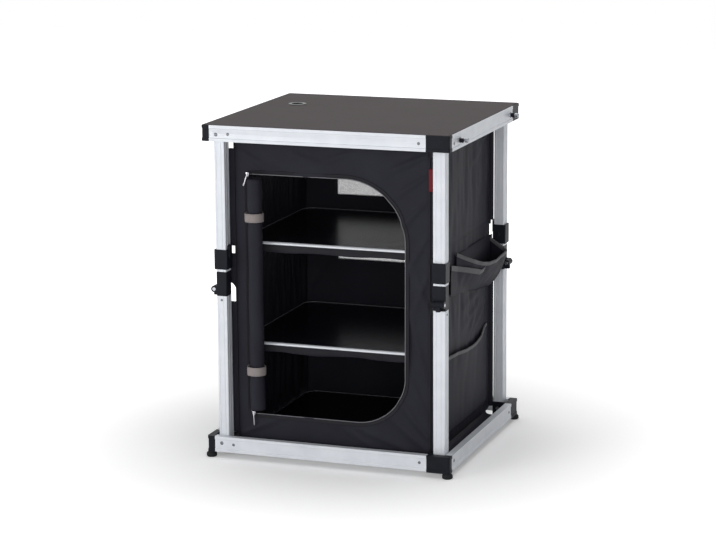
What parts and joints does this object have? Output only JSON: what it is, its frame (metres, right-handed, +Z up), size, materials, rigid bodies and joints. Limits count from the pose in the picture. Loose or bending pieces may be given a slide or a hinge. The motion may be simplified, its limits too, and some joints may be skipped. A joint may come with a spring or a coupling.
{
  "type": "folding camping cupboard",
  "caption": "Folding aluminium-framed camping cupboard with a worktop, fabric body, rolled-up door, shelves and side pockets.",
  "frame": {"origin": "on the ground below the middle of the cupboard", "axes": "+Z up, -Y towards the door, +X to the right seen from the door"},
  "size_m": [0.645, 0.569, 0.8],
  "materials": {
    "aluminium": "satin anodised",
    "black_plastic": "fine grain",
    "steel": "plated",
    "stud_metal": "turned",
    "rubber": "matte",
    "worktop_board": "matte laminate on a thin board",
    "covered_board": "cloth over a thin board",
    "cloth": "woven polyester",
    "mesh": "fine mesh",
    "webbing": "woven tape",
    "red_webbing": "woven tape"
  },
  "bodies": {
    "base_frame": {"base_front_rail": "aluminium", "base_right_rail": "aluminium", "base_rear_rail": "aluminium", "base_left_rail": "aluminium", "base_fr_block": "black_plastic", "base_rr_block": "black_plastic", "base_rl_block": "black_plastic", "base_fl_block": "black_plastic", "base_frame_rivets": "steel", "feet": "rubber", "floor_board": "covered_board", "front_panel": "cloth", "left_panel": "cloth", "right_panel": "cloth", "rear_panel": "cloth", "rear_vents": "mesh", "rolled_door": "cloth", "door_ties": "webbing", "zip_pulls": "steel", "side_pockets": "cloth", "edge_tab": "red_webbing"},
    "fr_lower": {"fr_lower_tube": "aluminium", "fr_lower_knuckle": "black_plastic"},
    "fr_upper": {"fr_upper_tube": "aluminium", "fr_upper_knuckle": "black_plastic", "fr_lock_collar": "black_plastic"},
    "fr_button": {"fr_lock_button": "black_plastic"},
    "rr_lower": {"rr_lower_tube": "aluminium", "rr_lower_knuckle": "black_plastic"},
    "rr_upper": {"rr_upper_tube": "aluminium", "rr_upper_knuckle": "black_plastic", "rr_lock_collar": "black_plastic"},
    "rr_button": {"rr_lock_button": "black_plastic"},
    "rl_lower": {"rl_lower_tube": "aluminium", "rl_lower_knuckle": "black_plastic"},
    "rl_upper": {"rl_upper_tube": "aluminium", "rl_upper_knuckle": "black_plastic", "rl_lock_collar": "black_plastic"},
    "rl_button": {"rl_lock_button": "black_plastic"},
    "fl_lower": {"fl_lower_tube": "aluminium", "fl_lower_knuckle": "black_plastic"},
    "fl_upper": {"fl_upper_tube": "aluminium", "fl_upper_knuckle": "black_plastic", "fl_lock_collar": "black_plastic"},
    "fl_button": {"fl_lock_button": "black_plastic"},
    "top_frame": {"top_front_rail": "aluminium", "top_right_rail": "aluminium", "top_rear_rail": "aluminium", "top_left_rail": "aluminium", "top_fr_block": "black_plastic", "top_rr_block": "black_plastic", "top_rl_block": "black_plastic", "top_fl_block": "black_plastic", "top_frame_rivets": "steel", "worktop": "worktop_board", "cable_grommet": "black_plastic", "rail_studs": "stud_metal"},
    "upper_shelf": {"upper_shelf": "covered_board"},
    "lower_shelf": {"lower_shelf": "covered_board"}
  },
  "joints": [
    {"name": "fold", "type": "hinge", "parent": "base_frame", "child": "fl_lower", "pos_m": [-0.2655, -0.247, 0.036], "axis": [0, 1, 0], "range_deg": [0, 88], "deforming": ["front_panel", "left_panel", "right_panel", "rear_panel", "rear_vents", "rolled_door", "door_ties", "zip_pulls", "side_pockets", "edge_tab"]},
    {"name": "fl_knee", "type": "hinge", "parent": "fl_lower", "child": "fl_upper", "pos_m": [-0.2845, -0.247, 0.406], "axis": [0, 1, 0], "range_deg": [-176, 0]},
    {"name": "fl_button_press", "type": "slide", "parent": "fl_upper", "child": "fl_button", "axis": [0, -1, 0], "range_m": [0, 0.003], "stiffness_N_per_m": 500, "springref_m": -0.004},
    {"name": "fr_fold", "type": "hinge", "parent": "base_frame", "child": "fr_lower", "pos_m": [0.2695, -0.243, 0.036], "axis": [-1, 0, 0], "range_deg": [0, 88]},
    {"name": "fr_knee", "type": "hinge", "parent": "fr_lower", "child": "fr_upper", "pos_m": [0.2695, -0.262, 0.406], "axis": [-1, 0, 0], "range_deg": [-176, 0]},
    {"name": "fr_button_press", "type": "slide", "parent": "fr_upper", "child": "fr_button", "axis": [1, 0, 0], "range_m": [0, 0.003], "stiffness_N_per_m": 500, "springref_m": -0.004},
    {"name": "rr_fold", "type": "hinge", "parent": "base_frame", "child": "rr_lower", "pos_m": [0.2655, 0.247, 0.036], "axis": [0, -1, 0], "range_deg": [0, 88]},
    {"name": "rr_knee", "type": "hinge", "parent": "rr_lower", "child": "rr_upper", "pos_m": [0.2845, 0.247, 0.406], "axis": [0, -1, 0], "range_deg": [-176, 0]},
    {"name": "rr_button_press", "type": "slide", "parent": "rr_upper", "child": "rr_button", "axis": [0, 1, 0], "range_m": [0, 0.003], "stiffness_N_per_m": 500, "springref_m": -0.004},
    {"name": "rl_fold", "type": "hinge", "parent": "base_frame", "child": "rl_lower", "pos_m": [-0.2695, 0.243, 0.036], "axis": [1, 0, 0], "range_deg": [0, 88]},
    {"name": "rl_knee", "type": "hinge", "parent": "rl_lower", "child": "rl_upper", "pos_m": [-0.2695, 0.262, 0.406], "axis": [1, 0, 0], "range_deg": [-176, 0]},
    {"name": "rl_button_press", "type": "slide", "parent": "rl_upper", "child": "rl_button", "axis": [-1, 0, 0], "range_m": [0, 0.003], "stiffness_N_per_m": 500, "springref_m": -0.004},
    {"name": "top_frame_pivot", "type": "hinge", "parent": "fl_upper", "child": "top_frame", "pos_m": [-0.2655, -0.247, 0.776], "axis": [0, 1, 0], "range_deg": [0, 88]},
    {"name": "upper_shelf_drop", "type": "slide", "parent": "base_frame", "child": "upper_shelf", "axis": [0, 0, 1], "range_m": [-0.431, 0]},
    {"name": "lower_shelf_drop", "type": "slide", "parent": "base_frame", "child": "lower_shelf", "axis": [0, 0, 1], "range_m": [-0.213, 0]}
  ],
  "couplings": [
    {"joint": "fl_knee", "follows": "fold", "ratio": -2},
    {"joint": "fr_fold", "follows": "fold", "ratio": 1},
    {"joint": "fr_knee", "follows": "fold", "ratio": -2},
    {"joint": "rr_fold", "follows": "fold", "ratio": 1},
    {"joint": "rr_knee", "follows": "fold", "ratio": -2},
    {"joint": "rl_fold", "follows": "fold", "ratio": 1},
    {"joint": "rl_knee", "follows": "fold", "ratio": -2},
    {"joint": "top_frame_pivot", "follows": "fold", "ratio": 1},
    {"joint": "upper_shelf_drop", "follows": "fold", "m_per_rad": -0.27997},
    {"joint": "lower_shelf_drop", "follows": "fold", "m_per_rad": -0.13803}
  ]
}
